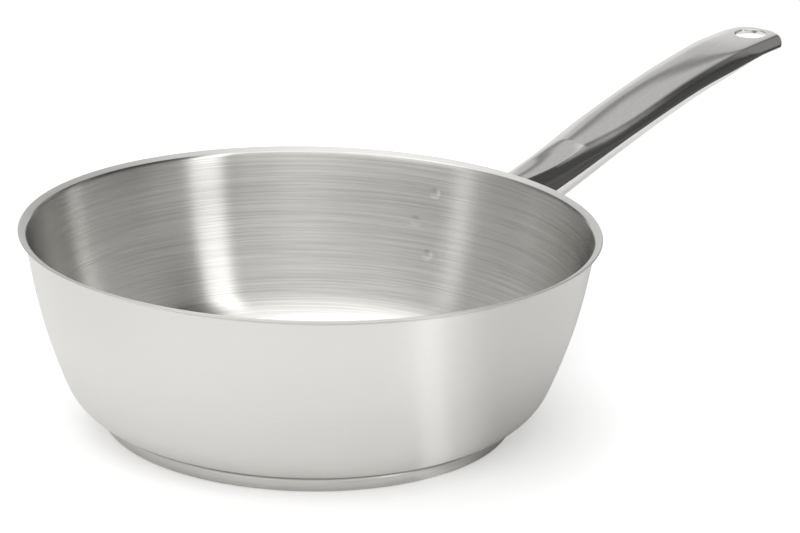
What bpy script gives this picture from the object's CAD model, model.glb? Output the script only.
# %% [markdown]
# A saucier pan in brushed stainless steel.
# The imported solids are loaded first. The pieces below are drawn round them in metres, with the
# middle of the base at the origin, the pan's axis as Z and the handle along X.

# %% Load the frame
from math import asin, atan, atan2, cos, degrees, pi, radians, sin, sqrt, tan

import bpy
import numpy as np
from mathutils import Matrix, Vector


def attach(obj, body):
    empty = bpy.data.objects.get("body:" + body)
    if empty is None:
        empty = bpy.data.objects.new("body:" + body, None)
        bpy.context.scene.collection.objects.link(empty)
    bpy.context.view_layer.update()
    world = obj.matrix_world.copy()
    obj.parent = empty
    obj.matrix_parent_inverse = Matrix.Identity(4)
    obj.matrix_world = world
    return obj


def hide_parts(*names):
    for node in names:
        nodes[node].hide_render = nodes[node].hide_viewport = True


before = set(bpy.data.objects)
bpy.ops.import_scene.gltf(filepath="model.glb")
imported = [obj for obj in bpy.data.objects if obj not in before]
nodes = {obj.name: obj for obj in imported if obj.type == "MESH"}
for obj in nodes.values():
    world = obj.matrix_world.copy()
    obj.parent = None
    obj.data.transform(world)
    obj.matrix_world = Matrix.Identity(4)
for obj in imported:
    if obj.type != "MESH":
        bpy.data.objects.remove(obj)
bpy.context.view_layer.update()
mm = 0.001

# %% [markdown]
# The photograph was taken with a long lens from above the pan's left front. The camera's place was
# worked out from the ellipses that the rim and the foot make in the picture.

# %% Set up the camera
eye = Vector((-0.9085, -0.7489, 0.4508))
forward = Vector((0.75215, 0.58141, -0.3102)).normalized()
across = Vector((0.61834, -0.78547, 0.0270))
right = (across - forward * across.dot(forward)).normalized()
upward = right.cross(forward)
focal_share = 3.75            # focal length as a share of the picture's width

camera_data = bpy.data.cameras.new("camera")
camera_data.sensor_width = 36
camera_data.lens = camera_data.sensor_width * focal_share
camera_data.clip_end = 50
camera = bpy.data.objects.new("camera", camera_data)
bpy.context.collection.objects.link(camera)
turned = Matrix((right, upward, -forward)).transposed()
camera.matrix_world = Matrix.Translation(eye) @ turned.to_4x4()
bpy.context.scene.camera = camera
print("camera at", tuple(eye), "lens", round(camera_data.lens, 1))

# %% [markdown]
# Every piece is shaped in edit mode, and an operator acts on all that is selected. These helpers
# start from nothing selected, and pick the faces or edges that the next operator works on.

# %% Helpers for modelling
merge_gap = 0.001 * mm        # points nearer to each other than this are one point
sharp_angle = radians(35)     # between two faces, above which their edge stays sharp


def deselect_all():
    for thing in bpy.context.selected_objects:
        thing.select_set(False)


def take_up(piece):
    """Make one piece the only selected and active one."""
    deselect_all()
    piece.select_set(True)
    bpy.context.view_layer.objects.active = piece


def added(name):
    """Name the primitive that was just added."""
    piece = bpy.context.active_object
    piece.name = name
    piece.data.name = name
    return piece


def edit(piece):
    take_up(piece)
    bpy.ops.object.mode_set(mode="EDIT")


def done():
    bpy.ops.object.mode_set(mode="OBJECT")


def apply_modifier(piece, kind, **settings):
    """Add a modifier, give it its settings and apply it."""
    take_up(piece)
    modifier = piece.modifiers.new(kind.title(), kind)
    for name, value in settings.items():
        setattr(modifier, name, value)
    bpy.ops.object.modifier_apply(modifier=modifier.name)


def tidy_faces(piece):
    """Merge doubles and turn all the faces the same way, outwards on a closed piece."""
    edit(piece)
    bpy.ops.mesh.select_all(action="SELECT")
    bpy.ops.mesh.remove_doubles(threshold=merge_gap)
    bpy.ops.mesh.normals_make_consistent(inside=False)
    done()


def turn_bottom_down(piece):
    """On an open cup, turn the faces so that the lowest ones look down."""
    tidy_faces(piece)
    lowest = min(piece.data.polygons, key=lambda face: face.center.z)
    if lowest.normal.z > 0:
        edit(piece)
        bpy.ops.mesh.select_all(action="SELECT")
        bpy.ops.mesh.flip_normals()
        done()


def place_at_origin(piece):
    take_up(piece)
    bpy.ops.object.transform_apply(location=True, rotation=True, scale=True)


def smooth(piece, angle=sharp_angle):
    take_up(piece)
    bpy.ops.object.shade_smooth_by_angle(angle=angle)


def report(piece):
    low = [round(min(v.co[i] for v in piece.data.vertices) / mm, 1) for i in range(3)]
    high = [round(max(v.co[i] for v in piece.data.vertices) / mm, 1) for i in range(3)]
    print(piece.name, "faces", len(piece.data.polygons), "from", low, "to", high, "mm")


# %% [markdown]
# The bowl is drawn from one round sheet: a flat floor, a round heel, a wall that bends less and less
# upwards and ends straight, and a pouring lip. The sizes to set are the radii, heights and angles of
# that form, as on a toolmaker's drawing. Where its arcs meet is worked out from them.

# %% Sizes of the bowl
rim_radius = 119.95 * mm
wall_radius = 117.1 * mm      # outside of the wall under the lip
pan_height = 83.5 * mm
sheet = 1.0 * mm
top_lean = radians(10.3)      # of the wall under the lip, from upright
straight_from = 66 * mm       # height above which the wall is straight
wall_bend = 219 * mm          # radius of the wall's curve below that
heel_radius = 24 * mm
floor_height = 5.5 * mm       # underside of the bowl's floor
lip_turn = radians(63)        # of the pouring lip, from upright
lip_bend = 1.5 * mm           # radius of its bend's outside
bend_reach = lip_bend * (cos(top_lean) - cos(lip_turn))
bend_rise = lip_bend * (sin(lip_turn) - sin(top_lean))
lip_flange = (rim_radius - wall_radius - bend_reach) / sin(lip_turn)
lip_start = pan_height - sheet * sin(lip_turn) - bend_rise - lip_flange * cos(lip_turn)
curve_top = wall_radius - (lip_start - straight_from) * tan(top_lean)
wall_centre = (curve_top - wall_bend * cos(top_lean), straight_from + wall_bend * sin(top_lean))
low_lean = asin((wall_centre[1] - heel_radius - floor_height) / (wall_bend - heel_radius))
floor_radius = wall_centre[0] + (wall_bend - heel_radius) * cos(low_lean)
print("flat floor", round(floor_radius / mm, 1), "mm, lip from", round(lip_start / mm, 1), "mm up")

# %% [markdown]
# The outline could be traced point by point from the photograph, but then the metal would show every
# small error as a dent. Made of true arcs and straight stretches, it has no flats and no dents.

# %% The bowl's outline
floor_steps, heel_steps, curve_steps, band_steps = 5, 18, 36, 12
bend_steps, flange_steps = 10, 4
lip_steps = bend_steps + flange_steps


def arc(centre, radius, start, end, steps):
    """Points of an arc as (distance from the axis, height), without its first one."""
    turns = [start + (end - start) * (i + 1) / steps for i in range(steps)]
    return [(centre[0] + radius * cos(t), centre[1] + radius * sin(t)) for t in turns]


def line(start, end, steps):
    """Points of a straight stretch, without its first one."""
    shares = [(i + 1) / steps for i in range(steps)]
    run, climb = end[0] - start[0], end[1] - start[1]
    return [(start[0] + run * share, start[1] + climb * share) for share in shares]


def bowl_outline(inside=0.0):
    """The outline from the middle of the floor to the lip's edge, moved in by inside."""
    points = line((0, floor_height + inside), (floor_radius, floor_height + inside), floor_steps)
    centre = (floor_radius, floor_height + heel_radius)
    points += arc(centre, heel_radius - inside, -pi / 2, -low_lean, heel_steps)
    points += arc(wall_centre, wall_bend - inside, -low_lean, -top_lean, curve_steps)
    top = (wall_radius - inside * cos(top_lean), lip_start + inside * sin(top_lean))
    points += line(points[-1], top, band_steps)
    centre = (wall_radius + lip_bend * cos(top_lean), lip_start - lip_bend * sin(top_lean))
    points += arc(centre, lip_bend + inside, pi - top_lean, pi - lip_turn, bend_steps)
    x, z = points[-1]
    edge = (x + lip_flange * sin(lip_turn), z + lip_flange * cos(lip_turn))
    points += line(points[-1], edge, flange_steps)
    return points


print("outline points", len(bowl_outline()))

# %% [markdown]
# A drawn bowl is a body of revolution. Its outline could be spun, but growing it ring by ring from
# the floor shows how the sheet is drawn: each new ring is extruded, scaled out and lifted.

# %% Grow a spun shape ring by ring
ring_corners = 288


def grow_rings(name, outline, corners=ring_corners):
    """Start from a disc and extrude its edge through the outline's points."""
    deselect_all()
    first = outline[0]
    bpy.ops.mesh.primitive_circle_add(vertices=corners, radius=first[0], fill_type="TRIFAN",
                                      location=(0, 0, first[1]))
    piece = added(name)
    place_at_origin(piece)
    edit(piece)
    bpy.ops.mesh.select_mode(type="EDGE")
    bpy.ops.mesh.select_all(action="SELECT")
    bpy.ops.mesh.region_to_loop()
    before = first
    for point in outline[1:]:
        growth = point[0] / before[0]
        bpy.ops.mesh.extrude_edges_move()
        bpy.ops.transform.resize(value=(growth, growth, 1), center_override=(0, 0, 0))
        bpy.ops.transform.translate(value=(0, 0, point[1] - before[1]))
        before = point
    done()
    return piece


# %% [markdown]
# The wall gets its thickness with Solidify, which keeps the sheet one millimetre thick round the
# bends. A small bevel rounds the two corners of the lip's cut edge, where the light catches.

# %% Make the bowl
corner_angle = radians(50)    # between two faces, above which a bevel rounds their edge
lip_edge_round, lip_edge_steps = 0.32 * mm, 4

bowl = grow_rings("drawn_bowl", bowl_outline())
turn_bottom_down(bowl)
apply_modifier(bowl, "SOLIDIFY", thickness=sheet, offset=-1, use_even_offset=True)
apply_modifier(bowl, "BEVEL", width=lip_edge_round, segments=lip_edge_steps,
               limit_method="ANGLE", angle_limit=corner_angle)
report(bowl)

# %% [markdown]
# Six spot welds hold the handle's bracket. The welding electrode leaves a shallow round print for
# each of them inside the bowl. The wall is subdivided finely there, laid back on its true curve,
# and pressed in.

# %% Press the marks of the spot welds
mark_radius = 2.5 * mm
mark_depth = 0.11 * mm
mark_places = ((21.7 * mm, 68.3 * mm), (29.05 * mm, 54.9 * mm), (20.3 * mm, 41.4 * mm))
fine_reach = 2 * mark_radius  # from each mark's middle, where the wall is subdivided
fine_cuts = 6
wall_outer = np.array(bowl_outline())[floor_steps + heel_steps:-lip_steps]
wall_inner = np.array(bowl_outline(sheet))[floor_steps + heel_steps:-lip_steps]


def mark_centre(side, height):
    """Where a mark lies on the inside, side millimetres round from the handle."""
    turn = side / np.interp(height, wall_outer[:, 1], wall_outer[:, 0])
    radius = np.interp(height, wall_inner[:, 1], wall_inner[:, 0])
    return Vector((radius * cos(turn), radius * sin(turn), height))


centres = [mark_centre(hand * side, height) for side, height in mark_places for hand in (1, -1)]
take_up(bowl)
edit(bowl)
bpy.ops.mesh.select_mode(type="FACE")
bpy.ops.mesh.select_all(action="DESELECT")
done()
for face in bowl.data.polygons:
    outward = Vector((face.center.x, face.center.y, 0))
    near = min((face.center - centre).length for centre in centres) < fine_reach
    face.select = near and face.normal.dot(outward) < 0
edit(bowl)
bpy.ops.mesh.subdivide(number_cuts=fine_cuts)
done()
for vertex in bowl.data.vertices:
    if vertex.select:
        away = Vector((vertex.co.x, vertex.co.y, 0)).normalized()
        radius = np.interp(vertex.co.z, wall_inner[:, 1], wall_inner[:, 0])
        nearest = min((vertex.co - centre).length for centre in centres)
        dent = mark_depth * max(1 - (nearest / mark_radius) ** 2, 0)
        vertex.co = away * (radius + dent) + Vector((0, 0, vertex.co.z))
smooth(bowl)
report(bowl)
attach(bowl, "root")
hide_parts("bowl")

# %% [markdown]
# The base is a shallow cup of magnetic steel pressed over the aluminium disc. Its side swells out
# into a round foot, so it grows from its own outline in the same way.

# %% Make the base cap
cap_radius = 85.8 * mm
cap_height = 6.1 * mm
cap_sheet = 0.6 * mm
foot_round = 3.0 * mm
shoulder_round = 1.0 * mm     # of the side's upper edge, which is pressed in against the bowl
shoulder_turn = radians(62)
foot_steps, side_steps, shoulder_steps = 12, 3, 8
cap_edge_round, cap_edge_steps = 0.2 * mm, 3


def cap_outline():
    flat = cap_radius - foot_round
    points = line((0, 0), (flat, 0), floor_steps)
    points += arc((flat, foot_round), foot_round, -pi / 2, 0, foot_steps)
    points += line(points[-1], (cap_radius, cap_height - shoulder_round), side_steps)
    centre = (cap_radius - shoulder_round, cap_height - shoulder_round)
    points += arc(centre, shoulder_round, 0, shoulder_turn, shoulder_steps)
    return points


cap = grow_rings("pressed_base_cap", cap_outline())
turn_bottom_down(cap)
apply_modifier(cap, "SOLIDIFY", thickness=cap_sheet, offset=-1, use_even_offset=True)
apply_modifier(cap, "BEVEL", width=cap_edge_round, segments=cap_edge_steps,
               limit_method="ANGLE", angle_limit=corner_angle)
smooth(cap)
report(cap)
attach(cap, "root")
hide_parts("base_cap")

# %% [markdown]
# The handle starts as a round tube, and a press flattens it more and more towards the tail, where
# its two walls meet. So its sections keep about the same outline length while they get lower and
# wider. The tables were set by eye against the photograph, with a value only where the form changes,
# and smooth curves run through them.

# %% Sizes of the handle
root = Vector((114.155, 0, 55.688)) * mm       # middle of the tube at the bracket
root_tilt = atan2(0.2411, 0.9705)              # of the bracket's face, from upright
tilt_share = 0.09             # of the length, over which the sections come upright
reach = 349 * mm              # from the pan's axis to the tip
handle_length = reach - root.x
tube_wall = 1.0 * mm
root_size = (25 * mm, 27.5 * mm)               # width and height of the section
tail_size = (37.6 * mm, 2 * tube_wall)
root_crown = root.z + root_size[1] / 2
tail_crown = 106.2 * mm
flange_slope = tan(radians(18))                # of the tail's turned-down edges
flange_crease = 12 * mm                        # from the middle, where they start
crease_softness = 1.6 * mm
tip_radius, tip_corner = 20 * mm, 3.5 * mm
root_depth = 1.2 * mm         # how far the tube's end lies behind the bracket's face
root_oval = 0.05              # share of the length over which the belt leaves the collar's middle

# where the tables below have their values, as shares of the handle's length
place_shares = (0.0, 0.215, 0.43, 0.64, 0.755, 0.83, 0.88, 1.0)
# the top line, the width and the height go from their value at the root, 0, to that of the tail, 1
crown_shares = (0.0, 0.228, 0.488, 0.77, 0.885, 0.94, 0.963, 1.0)
width_shares = (0.0, 0.22, 0.59, 0.73, 0.857, 0.95, 1.0, 1.0)
height_shares = (1.0, 0.72, 0.495, 0.39, 0.28, 0.1, 0.0, 0.0)    # and this one from 1 to 0
# the widest line's share of the height, the power of the outline, and how far the edges turn down
belt_shares = (0.5, 0.53, 0.67, 0.61, 0.55, 0.5, 0.5, 0.5)
squareness = (2.0, 2.05, 2.15, 2.3, 2.6, 3.5, 6.0, 6.0)
fold_shares = (0.0, 0.0, 0.0, 0.0, 0.3, 0.8, 1.0, 1.0)


def eased(table, place):
    """A smooth curve through a table of values at the handle's places, with no overshoot."""
    steps = [(table[i + 1] - table[i]) / (place_shares[i + 1] - place_shares[i])
             for i in range(len(table) - 1)]
    left = max(i for i in range(len(steps)) if place_shares[i] <= max(place, 0))

    def slope(i):
        if i == 0 or i == len(steps) or steps[i - 1] * steps[i] <= 0:
            return 0
        return 2 * steps[i - 1] * steps[i] / (steps[i - 1] + steps[i])

    span = place_shares[left + 1] - place_shares[left]
    t = max(place - place_shares[left], 0) / span
    rise = table[left + 1] - table[left]
    turn_in, turn_out = slope(left) * span, slope(left + 1) * span
    return (table[left] + turn_in * t + (3 * rise - 2 * turn_in - turn_out) * t * t
            + (turn_in + turn_out - 2 * rise) * t ** 3)


def natural_spline(xs, ys):
    """A cubic spline with free ends, as a bent batten takes."""
    n = len(xs)
    h = np.diff(xs)
    matrix, side = np.eye(n), np.zeros(n)
    for i in range(1, n - 1):
        matrix[i, i - 1:i + 2] = h[i - 1], 2 * (h[i - 1] + h[i]), h[i]
        side[i] = 6 * ((ys[i + 1] - ys[i]) / h[i] - (ys[i] - ys[i - 1]) / h[i - 1])
    bend = np.linalg.solve(matrix, side)

    def at(x):
        i = int(np.clip(np.searchsorted(xs, x) - 1, 0, n - 2))
        a, b = (xs[i + 1] - x) / h[i], (x - xs[i]) / h[i]
        return (a * ys[i] + b * ys[i + 1]
                + ((a ** 3 - a) * bend[i] + (b ** 3 - b) * bend[i + 1]) * h[i] ** 2 / 6)

    return at


crown_curve = natural_spline(np.array(place_shares), np.array(
    [root_crown + (tail_crown - root_crown) * share for share in crown_shares]))


def crown_height(place):
    """Height of the tube's top line."""
    return float(crown_curve(place)) if place > 0 else root_crown


print("handle length", round(handle_length / mm, 1), "mm")

# %% [markdown]
# The tail is cut to a wide round tip, with small rounds where it meets the straight sides. A cutter
# would leave a sharp edge that then needs rounding. So the sections get narrower towards the tip.

# %% The tip seen from above
def tip_half_width(x):
    """Half the tail's width: straight sides, a round tip and eased corners between them."""
    half = tail_size[0] / 2
    tip_middle = reach - tip_radius
    corner_y = half - tip_corner
    corner_x = tip_middle + sqrt((tip_radius - tip_corner) ** 2 - corner_y ** 2)
    turn = atan2(corner_y, corner_x - tip_middle)
    if x < corner_x:
        return half
    if x < tip_middle + tip_radius * cos(turn):
        return corner_y + sqrt(max(tip_corner ** 2 - (x - corner_x) ** 2, 0))
    return sqrt(max(tip_radius ** 2 - (x - tip_middle) ** 2, 0))


print("tail", round(2 * tip_half_width(reach - tip_radius) / mm, 1), "mm wide")

# %% [markdown]
# The thumb dimple is pressed into the finished tube with a soft tool. It is a long teardrop, narrow
# towards the pan and wide towards the tail, and it runs out so gently that it has no edge. So it is
# drawn as a bell across the handle, with a depth that rises and falls along it.

# %% The thumb dimple
dimple_start = 14 * mm        # from the bracket to its narrow end
dimple_length = 58 * mm
dimple_depth = 1.15 * mm
dimple_deepest = 0.62         # share of its length
dimple_fading = 3             # how quickly it gets shallow away from there
dimple_widths = (3 * mm, 6 * mm)    # of the bell, at the narrow end and where it is widest
dimple_widest = 0.6           # share of its length
dimple_flatness = 0.75        # of the bell's bottom


def press_dimple(x, y, z, rise):
    """Lower points of the tube's top; rise is 0 at the tube's sides and 1 near its crown."""
    share = (x - root.x - dimple_start) / dimple_length
    if not 0 < share < 1:
        return z
    before, after = share / dimple_deepest, (1 - share) / (1 - dimple_deepest)
    fall = (before ** (dimple_fading * dimple_deepest)
            * after ** (dimple_fading * (1 - dimple_deepest)))
    narrow, broad = dimple_widths
    spread = (y / (narrow + (broad - narrow) * min(share / dimple_widest, 1))) ** 2
    bell = np.exp(-spread * (1 - dimple_flatness) - dimple_flatness * spread ** 2 / 2)
    rise = np.clip(rise, 0, 1)
    return z - dimple_depth * fall * bell * rise * rise * (3 - 2 * rise)


print("dimple", round(dimple_depth / mm, 2), "mm deep")

# %% [markdown]
# A section is an ellipse at the pan and gets squarer towards the tail. It is made of an upper and a
# lower half, because its widest line, the belt, isn't always halfway up. In the tail its edges are
# turned down. The points lie at even steps along the outline, so the mesh has no crowded corners.

# %% One section of the tube
outline_detail = 721          # points of a quarter, from which the even steps are taken
dimple_border = 0.35          # share of the upper half, over which the dimple fades at the sides
tiny = 1e-9                   # keeps the share from a division by zero at the tip


def half_oval(corners, half_width, height, power):
    """From one side over the top to the other, in even steps. A power of 2 gives an ellipse."""
    turn = np.linspace(0, pi / 2, outline_detail)
    y = half_width * np.cos(turn).clip(0) ** (2 / power)
    z = height * np.sin(turn).clip(0) ** (2 / power)
    y, z = np.concatenate((y, -y[::-1][1:])), np.concatenate((z, z[::-1][1:]))
    length = np.concatenate(([0], np.cumsum(np.hypot(np.diff(y), np.diff(z)))))
    even = np.linspace(0, length[-1], corners + 1)
    return np.interp(even, length, y), np.interp(even, length, z)


def tube_section(place, corners, inset=0.0):
    """Points of the section at a place along the handle, the first and last one the same."""
    x = root.x + handle_length * place
    settled = min(max(place, 0) / root_oval, 1)
    full_half = (root_size[0] + (tail_size[0] - root_size[0]) * eased(width_shares, place)) / 2
    height = tail_size[1] + (root_size[1] - tail_size[1]) * eased(height_shares, place)
    belt = height * (0.5 + (eased(belt_shares, place) - 0.5) * settled)
    crown = crown_height(place)
    to_tip = min(max(reach - x, 0) / tube_wall, 1)
    shrink = sqrt(1 - (1 - to_tip) ** 2)
    half_width = min(full_half, tip_half_width(x)) - inset
    over, under = (height - belt - inset) * shrink, (belt - inset) * shrink
    power = eased(squareness, place)
    y, z = half_oval(corners // 2, half_width, over, power)
    low_y, low_z = half_oval(corners // 2, half_width, under, power)
    y, z = np.concatenate((y, low_y[::-1][1:])), np.concatenate((z, -low_z[::-1][1:]))
    past = np.abs(y) - flange_crease
    drop = flange_slope * (past + np.sqrt(past ** 2 + crease_softness ** 2)) / 2
    middle = crown - height + belt
    lowered = z + middle - drop * eased(fold_shares, place)
    z = press_dimple(x, y, lowered, z / (dimple_border * over + tiny))
    tilt = root_tilt * max(0, 1 - max(place, 0) / tilt_share)
    back = min(place, 0) * handle_length
    rise = z - middle
    return np.stack((x - back + rise * sin(tilt) + back * cos(root_tilt), y,
                     middle + rise * cos(tilt) - back * sin(root_tilt)), axis=1)


print("section at the pan reaches", tube_section(0, 8).max(axis=0).round(4), "m")

# %% [markdown]
# A curve with a bevel also gives a tube, but all its sections have one form. Here each row of a grid
# is laid on a section of its own. The grid's first and last lines meet there, and are merged.

# %% Roll a sheet into a tube
def rolled(name, places, corners, inset=0.0):
    """Lay a grid and put each of its rows on one section of the tube."""
    deselect_all()
    rows = len(places) - 1
    bpy.ops.mesh.primitive_grid_add(x_subdivisions=rows, y_subdivisions=corners, size=1)
    piece = added(name)
    sections = [tube_section(place, corners, inset) for place in places]
    for vertex in piece.data.vertices:
        row = round((vertex.co.x + 0.5) * rows)
        corner = round((vertex.co.y + 0.5) * corners)
        vertex.co = sections[row][corner]
    tidy_faces(piece)
    return piece


def evenly(start, end, step):
    """Places along the handle, about one step apart, without the last one."""
    count = max(1, round((end - start) * handle_length / step))
    return [start + (end - start) * i / count for i in range(count)]


# %% [markdown]
# The rows of the sheet stand close together where the shape changes fast: at the dimple, and round
# the tip, where they follow the tip's arc.

# %% Make the tube
dimple_margin = 3 * mm
neck_step, dimple_step, back_step = 1.0 * mm, 0.4 * mm, 0.9 * mm
tube_corners = 144
dimple_from = (dimple_start - dimple_margin) / handle_length
dimple_to = (dimple_start + dimple_length + dimple_margin) / handle_length
tip_from = 1 - tip_radius / handle_length
tip_rows = 56
tip_turns = [pi / 2 * (1 - i / tip_rows) for i in range(tip_rows + 1)]
tube_places = [-root_depth / handle_length]
tube_places += evenly(0, dimple_from, neck_step)
tube_places += evenly(dimple_from, dimple_to, dimple_step)
tube_places += evenly(dimple_to, tip_from, back_step)
tube_places += [tip_from + tip_radius / handle_length * cos(turn) for turn in tip_turns]
tube = rolled("flattened_tube", tube_places, tube_corners)
report(tube)

# %% [markdown]
# The tube is hollow up to where its walls meet. A second, smaller tube inside the first is turned
# inside out and joined to it at the open end.

# %% Hollow the tube
hollow_end = 0.845            # share of the length where the two walls meet
hollow_step, hollow_dimple_step = 3 * mm, 0.8 * mm
hollow_corners = 96
hollow_places = [-root_depth / handle_length] + evenly(0, dimple_from, hollow_step)
hollow_places += evenly(dimple_from, dimple_to, hollow_dimple_step)
hollow_places += evenly(dimple_to, hollow_end, hollow_step) + [hollow_end]
hollow = rolled("hollow", hollow_places, hollow_corners, tube_wall)


def pick_open_edges():
    bpy.ops.mesh.select_mode(type="EDGE")
    bpy.ops.mesh.select_all(action="DESELECT")
    bpy.ops.mesh.select_non_manifold()


edit(hollow)
pick_open_edges()
done()
for edge in hollow.data.edges:
    middle = sum(hollow.data.vertices[i].co.x for i in edge.vertices) / 2
    edge.select = edge.select and middle > root.x + handle_length / 2
edit(hollow)
bpy.ops.mesh.edge_face_add()
bpy.ops.mesh.select_all(action="SELECT")
bpy.ops.mesh.normals_make_consistent(inside=True)
done()
take_up(hollow)
tube.select_set(True)
bpy.context.view_layer.objects.active = tube
bpy.ops.object.join()
edit(tube)
pick_open_edges()
bpy.ops.mesh.bridge_edge_loops()
done()
report(tube)

# %% [markdown]
# The hanging hole is punched through both walls, and a small vent lets hot air out of the tube.
# The punch widens a little at both ends, which leaves a rounded edge that doesn't cut the hand.

# %% Punch the hanging hole and drill the vent
hole_radius = 7.7 * mm
hole_margin = 3.9 * mm        # metal between the hole and the tip
hole_round = 0.25 * mm
vent_radius = 1.5 * mm
vent_place = 0.1              # share of the length
punch_reach = 4 * mm          # above and below the tail's middle
punch_tip = 0.01 * mm         # radius from which the punch is grown
round_steps = 6
punch_corners, drill_corners = 96, 32
slope_step = 0.01             # share of the length over which the tail's slope is taken
tube_sharp_angle = radians(40)


def punch_outline():
    """Half the punch's outline, with a flare at each face of the tail."""
    flat = tube_wall - hole_round
    wide = hole_radius + hole_round
    points = [(punch_tip, -punch_reach), (wide, -punch_reach)]
    points += arc((wide, -flat), hole_round, -pi / 2, -pi, round_steps)
    points += [(wide - hole_round, 0)]
    points += arc((wide, flat), hole_round, pi, pi / 2, round_steps)
    points += [(wide, punch_reach), (punch_tip, punch_reach)]
    return points


def cut(piece, cutter):
    """Take the cutter's shape out of the piece and delete the cutter."""
    tidy_faces(cutter)
    apply_modifier(piece, "BOOLEAN", operation="DIFFERENCE", object=cutter, solver="EXACT")
    bpy.data.objects.remove(cutter)


def closed(piece):
    """Fill the open end of a shape that was grown ring by ring."""
    edit(piece)
    pick_open_edges()
    bpy.ops.mesh.edge_face_add()
    done()
    return piece


hole_x = reach - hole_margin - hole_radius
hole_place = (hole_x - root.x) / handle_length
hole_rise = crown_height(hole_place + slope_step) - crown_height(hole_place - slope_step)
hole_tilt = atan(hole_rise / (2 * slope_step * handle_length))
punch = closed(grow_rings("punch", punch_outline(), punch_corners))
middle = Vector((hole_x, 0, crown_height(hole_place))) - tube_wall * Vector(
    (-sin(hole_tilt), 0, cos(hole_tilt)))
punch.data.transform(Matrix.Translation(middle) @ Matrix.Rotation(-hole_tilt, 4, "Y"))
cut(tube, punch)

vent_x = root.x + vent_place * handle_length
vent_top = crown_height(vent_place) - root_size[1] / 2
drill = closed(grow_rings("drill", [(vent_radius, 0), (vent_radius, vent_top)], drill_corners))
drill.data.transform(Matrix.Translation((vent_x, 0, 0)))
cut(tube, drill)
smooth(tube, tube_sharp_angle)
report(tube)
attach(tube, "root")
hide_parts("handle_tube")

# %% [markdown]
# Shader maths reads best as sums and products. This class wraps a socket, so that an expression on
# values adds the Math nodes that it needs.

# %% Values that take part in expressions
class Value:
    def __init__(self, board, socket):
        self.board, self.socket = board, socket

    def maths(self, operation, *terms):
        return self.board.node("Math", {"operation": operation}, terms)

    def __add__(self, other):
        return self.maths("ADD", self, other)

    def __sub__(self, other):
        return self.maths("SUBTRACT", self, other)

    def __rsub__(self, other):
        return self.maths("SUBTRACT", other, self)

    def __mul__(self, other):
        return self.maths("MULTIPLY", self, other)

    def __truediv__(self, other):
        return self.maths("DIVIDE", self, other)

    __radd__ = __add__
    __rmul__ = __mul__


class Board:
    """A node tree, with one method that adds any node and a few for those used often."""

    def __init__(self, tree):
        self.tree = tree
        tree.nodes.clear()

    def node(self, kind, settings=None, inputs=(), output=0):
        """Add a node, set it up, fill its sockets by place or by name, and give one output."""
        made = self.tree.nodes.new("ShaderNode" + kind)
        for name, value in (settings or {}).items():
            setattr(made, name, value)
        pairs = inputs.items() if isinstance(inputs, dict) else enumerate(inputs)
        for key, value in pairs:
            if isinstance(value, Value):
                self.tree.links.new(value.socket, made.inputs[key])
            else:
                made.inputs[key].default_value = value
        return Value(self, made.outputs[output]) if made.outputs else None

    def place(self):
        """Where a point lies, in metres in the part's own frame."""
        return self.node("TexCoord", output="Object")

    def parts(self, vector):
        split = self.node("SeparateXYZ", inputs=(vector,)).socket.node
        return [Value(self, split.outputs[i]) for i in range(3)]

    def vector(self, x, y, z):
        return self.node("CombineXYZ", inputs=(x, y, z))

    def distance(self, x, y, guard):
        """Level distance from the axis, which the guard keeps from zero."""
        return self.node("Math", {"operation": "SQRT"}, (x * x + y * y + guard,))

    def between(self, value, low, high):
        """0 at low and 1 at high, easing in and out."""
        settings = {"interpolation_type": "SMOOTHSTEP"}
        return self.node("MapRange", settings, (value, low, high, 0.0, 1.0))

    def shade(self, share, dark, light):
        """A colour from dark to light. Mix has its colours in sockets 6 and 7, and gives one in 2."""
        inputs = {0: share, 6: (*dark, 1), 7: (*light, 1)}
        return self.node("Mix", {"data_type": "RGBA"}, inputs, output=2)

    def noise(self, vector, scale=1.0, detail=3.0, roughness=0.6):
        inputs = {"Vector": vector, "Scale": scale, "Detail": detail, "Roughness": roughness}
        return self.node("TexNoise", inputs=inputs)


# %% [markdown]
# All the metals share one recipe. The colour and the roughness vary with the same noise that gives
# the relief, because a scratch catches light by its sides and also looks a little duller. On brushed
# steel a highlight is drawn out across the scratches, which the anisotropy does.

# %% Helpers for finishes
across_rings = 0.25           # of a turn, from along the rings to across them
noise_range = (0.3, 0.7)      # which the noise seldom leaves


def finish_of(name):
    """A new material and its board."""
    material = bpy.data.materials.new(name)
    material.use_nodes = True
    return material, Board(material.node_tree)


def steel(board, color, roughness, height, anisotropy=0.0, relief=0.02 * mm, metallic=1.0):
    """A metal surface with its relief, connected to the output."""
    normal = board.node("Bump", {}, {"Strength": 1.0, "Distance": relief, "Height": height})
    shader = board.node("BsdfPrincipled", {}, {
        "Base Color": color, "Metallic": metallic, "Roughness": roughness, "Normal": normal,
        "Anisotropic": anisotropy, "Anisotropic Rotation": across_rings})
    board.node("OutputMaterial", {}, (shader,))


def dress(material, *pieces):
    for piece in pieces:
        piece.data.materials.clear()
        piece.data.materials.append(material)
    print(material.name, "on", [piece.name for piece in pieces])


# %% [markdown]
# The bowl is brushed on a lathe: an abrasive belt runs round it and leaves fine rings. A noise that
# hardly changes along a ring and fast across it draws them. The ring's direction comes from the
# place on the piece, as a circle and not as an angle, so that the pattern has no seam.

# %% Ring-brushed steel inside the bowl
axis_guard = 1e-8


def ring_scratches(board, along, across):
    """Noise drawn out into rings, from how fast it changes along them and across them."""
    x, y, z = board.parts(board.place())
    radius = board.distance(x, y, axis_guard)
    return board.vector(x / radius * along, y / radius * along, (radius + z) * across)


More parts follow.
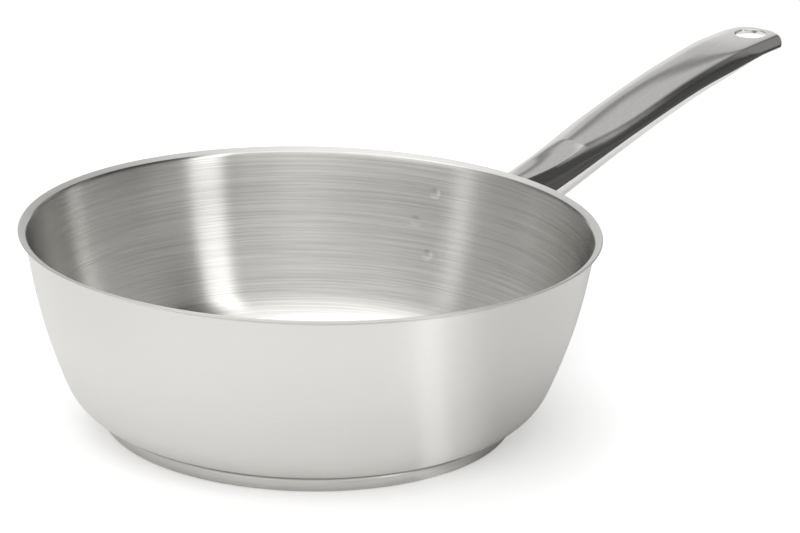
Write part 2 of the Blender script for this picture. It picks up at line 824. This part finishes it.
bowl_steel, board = finish_of("brushed_bowl_steel")
fine_rings = board.noise(ring_scratches(board, 2.0, 1700.0))
broad_rings = board.noise(ring_scratches(board, 0.8, 520.0), detail=2.0)
tone = fine_rings * 0.7 + broad_rings * 0.3
color = board.shade(board.between(tone, 0.34, 0.64), (0.6, 0.592, 0.572), (0.74, 0.733, 0.715))
steel(board, color, 0.22 + tone * 0.05, fine_rings, anisotropy=0.9, relief=0.004 * mm)
print(bowl_steel.name, "has", len(board.tree.nodes), "nodes")

# %% [markdown]
# Outside, the pan has a finer and more even satin, and its lip looks duller still and shows no streak.
# Both finishes come from one function. The bowl is a single sheet, so its faces are sorted by where
# they look.

# %% Satin steel of the outside and the lip
def satin(name, dark, light, roughness, anisotropy, metallic):
    """Steel rubbed dull in very fine rings."""
    material, board = finish_of(name)
    rings = board.noise(ring_scratches(board, 8.0, 2600.0))
    color = board.shade(rings, dark, light)
    steel(board, color, roughness + rings * 0.06, rings, anisotropy, 0.01 * mm, metallic)
    return material


outer_steel = satin("satin_bowl_steel", (0.69, 0.68, 0.655), (0.74, 0.73, 0.705), 0.3, 0.8, 1.0)
lip_steel = satin("satin_lip_steel", (0.6, 0.595, 0.58), (0.66, 0.655, 0.64), 0.42, 0.0, 0.5)
dress(outer_steel, bowl)
bowl.data.materials.append(bowl_steel)
bowl.data.materials.append(lip_steel)
outer_slot, inner_slot, lip_slot = range(3)
looks_in = -0.05              # outward part of its normal, below which a face is inside
looks_up = 0.95               # upward part of its normal, above which it is the floor
for face in bowl.data.polygons:
    outward = Vector((face.center.x, face.center.y, 0)).normalized()
    if face.center.z > lip_start + lip_bend and face.normal.z > 0:
        face.material_index = lip_slot
    elif face.normal.dot(outward) < looks_in or face.normal.z > looks_up:
        face.material_index = inner_slot
    else:
        face.material_index = outer_slot

# %% [markdown]
# The cap is a magnetic steel, a little darker than the bowl's, and it is brushed more coarsely. It
# uses the same rings with more detail, and its roughness varies more.

# %% Cap steel
cap_steel, board = finish_of("cap_steel")
rings = board.noise(ring_scratches(board, 3.0, 1600.0), detail=4.0, roughness=0.7)
color = board.shade(board.between(rings, *noise_range), (0.54, 0.53, 0.51), (0.64, 0.63, 0.61))
steel(board, color, 0.26 + rings * 0.14, rings, anisotropy=0.6)
dress(cap_steel, cap)

# %% [markdown]
# The handle is polished along its length until it mirrors the room. What is left of the polishing
# are faint lines along the handle, so the noise changes slowly along X and fast across it.

# %% Polished handle steel
slow, fast = 60.0, 1500.0     # changes of the noise in a metre

handle_steel, board = finish_of("polished_handle_steel")
x, y, z = board.parts(board.place())
lines = board.noise(board.vector(x * slow, y * fast, z * fast))
color = board.shade(board.between(lines, *noise_range), (0.68, 0.67, 0.65), (0.74, 0.73, 0.71))
steel(board, color, 0.07 + lines * 0.05, lines, relief=0.003 * mm)
dress(handle_steel, tube)

# %% [markdown]
# The pieces that stay as plain solids get their own finishes: a tumbled bracket, rough weld metal
# with a straw tint, dull grey aluminium, and the yellowish filler on both its faces.

# %% Finishes of the bracket, the welds and the base
def plain_finish(name, dark, light, roughness, scale, relief, *names):
    """A grained metal between two colours for some of the plain pieces."""
    material, board = finish_of(name)
    grain = board.noise(board.place(), scale)
    color = board.shade(board.between(grain, *noise_range), dark, light)
    steel(board, color, roughness + grain * 0.12, grain, relief=relief)
    dress(material, *[nodes[each] for each in names])


plain_finish("tumbled_bracket_steel", (0.55, 0.54, 0.52), (0.66, 0.65, 0.63), 0.28, 900.0,
             0.02 * mm, "handle_bracket")
plain_finish("weld_steel", (0.42, 0.37, 0.3), (0.6, 0.57, 0.52), 0.3, 1400.0, 0.06 * mm,
             "handle_root_weld", "bracket_spot_welds")
plain_finish("spreader_aluminium", (0.74, 0.75, 0.76), (0.82, 0.83, 0.84), 0.42, 700.0, 0.02 * mm,
             "heat_spreader_disc")
plain_finish("braze_filler", (0.62, 0.58, 0.47), (0.74, 0.7, 0.6), 0.38, 1100.0, 0.03 * mm,
             "upper_braze_layer", "lower_braze_layer")

# %% [markdown]
# What steel shows is mostly its surroundings, so they need as much care as the metal. They could be
# built of lamps and cards, but a drawn sky is easier to place: each light or dark part is given by
# its bearing, counted from the camera to its right, and by its height above the horizon.

# %% Bearings round the pan
camera_bearing = degrees(atan2(eye.y, eye.x))
level_guard = 1e-6
lowest, highest = -90, 90


class Compass:
    """Masks for parts of the surroundings, in degrees."""

    def __init__(self, board, vector):
        self.board = board
        self.x, self.y, self.z = board.parts(vector)
        self.level = board.distance(self.x, self.y, level_guard)

    def facing(self, nearness, half_width, softness):
        """1 inside the half width, with a soft border on both sides of it."""
        outer = cos(radians(half_width + softness))
        inner = cos(radians(max(half_width - softness, 0)))
        return self.board.between(nearness, outer, inner)

    def above(self, height, fade):
        return self.board.between(self.z, sin(radians(height - fade)), sin(radians(height + fade)))

    def sector(self, bearing, half_width, softness, low=lowest, high=highest, fade=6):
        """1 round a bearing, from a low height to a high one."""
        angle = radians(camera_bearing + bearing)
        nearness = (self.x * cos(angle) + self.y * sin(angle)) / self.level
        mask = self.facing(nearness, half_width, softness)
        if low > lowest:
            mask = mask * self.above(low, fade)
        if high < highest:
            mask = mask * (1 - self.above(high, fade))
        return mask

    def patch(self, bearing, height, half_width, softness):
        """1 in a round part of the sky."""
        angle, up = radians(camera_bearing + bearing), radians(height)
        nearness = (self.x * (cos(angle) * cos(up)) + self.y * (sin(angle) * cos(up))
                    + self.z * sin(up))
        return self.facing(nearness, half_width, softness)


print("camera at bearing", round(camera_bearing, 1), "degrees")

# %% [markdown]
# The camera sees plain white, as in a studio with a lit background. The steel sees the rest: a pale
# wall behind the pan, a dark side, a strip light and soft boxes. Each part was placed where its
# reflection shows on the wall, inside the bowl or on the handle.

# %% The studio round the pan
base_light = 0.82
walls_end = 62                # height of the walls' upper edge
dark_split, dark_top = 14, 67

world = bpy.data.worlds.new("studio")
bpy.context.scene.world = world
world.use_nodes = True
board = Board(world.node_tree)
around = Compass(board, board.node("TexCoord", output="Generated"))
sky = (
    # the pale wall behind the pan, dimmer from 19 degrees up, with a dark band across it
    (around.sector(180, 40, 8), 0.88),
    (around.sector(180, 40, 8, low=19, fade=4), 0.62),
    (around.sector(180, 40, 8, low=26.5, fade=1.2), 0.3),
    (around.sector(180, 40, 8, low=32, fade=3), 0.62),
    # the dark side of the studio, on the right, with a few paler gaps
    (around.sector(104, 48, 3, high=dark_split, fade=3), 0.4),
    (around.sector(112, 38, 10, high=dark_split, fade=3), 0.07),
    (around.sector(92, 36, 11, low=dark_split, high=dark_top, fade=3), 0.11),
    (around.sector(97, 13, 9, high=dark_top, fade=3), 0.11),
    (around.sector(128, 40, 3, low=20, high=walls_end, fade=4), 0.08),
    (around.sector(115.5, 5, 2.5, high=36), 0.35),
    (around.sector(94, 3, 2.5, low=8, high=48), 0.12),
    (around.sector(147, 5, 5, low=42, high=58, fade=5), 0.06),
    (around.patch(155, 33, 8, 6), 0.28),
    # the bright front, low down
    (around.sector(-12, 42, 8, high=dark_split), 1.12),
    # the strip light on the right of the camera, and the dim gap between it and the front
    (around.sector(46, 6.5, 2.5, high=walls_end), 2.3),
    (around.sector(34.5, 2, 2, high=walls_end), 0.68),
    # the dim corner on the left
    (around.sector(-66, 3, 3, high=walls_end), 0.9),
    (around.sector(-102, 26, 9, high=walls_end), 0.4),
    (around.sector(-120, 22, 10, high=walls_end), 0.27),
    (around.sector(-139, 10, 6, high=walls_end), 0.14),
    # the soft boxes overhead
    (around.patch(-30, 72, 36, 10), 1.35),
    (around.patch(-143, 73, 25, 8), 2.1),
)
light = board.node("Value")
light.socket.default_value = base_light
for mask, brightness in sky:
    light = light * (1 - mask) + mask * brightness
seen = board.node("LightPath", output="Is Camera Ray")
strength = light * (1 - seen) + seen
background = board.node("Background", {}, {"Color": (1, 1, 1, 1), "Strength": strength})
board.node("OutputWorld", {}, (background,))
print("sky of", len(sky), "parts")

# %% [markdown]
# The pan stands on a white table that runs out into the background. A matt white disc keeps the soft
# shadow. The camera sees it a little brighter than it is, so that its edge can't be told from the
# background, and the steel sees it with the dark side of the studio and the strip light on it.

# %% The floor
table_radius = 0.75
table_corners = 96
table_white = 0.9
camera_glow = 0.36
near_pan, far_off = 0.15, 0.5                 # distances from the axis
steel_glow, far_gain = 0.18, 0.05             # near the pan, and what is added far off
strip_gain = 0.17
dark_loss, far_dark_gain = 0.23, 0.14         # near the pan, and what is given back far off

deselect_all()
bpy.ops.mesh.primitive_circle_add(vertices=table_corners, radius=table_radius, fill_type="NGON")
floor = added("floor")
floor_paint, board = finish_of("floor_paint")
table = Compass(board, board.place())
far = board.between(table.level, near_pan, far_off)
glow = steel_glow + far * far_gain + table.sector(37, 3.5, 3) * strip_gain
glow = glow - table.sector(98, 45, 10) * (dark_loss - far * far_dark_gain)
camera_ray = board.node("LightPath", output="Is Camera Ray")
glossy_ray = board.node("LightPath", output="Is Glossy Ray")
bright = camera_ray * camera_glow + glossy_ray * glow
matt = board.node("BsdfDiffuse", {}, {"Color": (table_white, table_white, table_white, 1)})
shine = board.node("Emission", {}, {"Color": (1, 1, 1, 1), "Strength": bright})
board.node("OutputMaterial", {}, (board.node("AddShader", {}, (matt, shine)),))
dress(floor_paint, floor)

# %% [markdown]
# The picture takes the light as it is, without a film curve, so that white stays white. The box
# of the solids and that of the finished pieces are written down, to see that nothing has grown.

# %% Hand over
bpy.context.scene.view_settings.view_transform = "Standard"
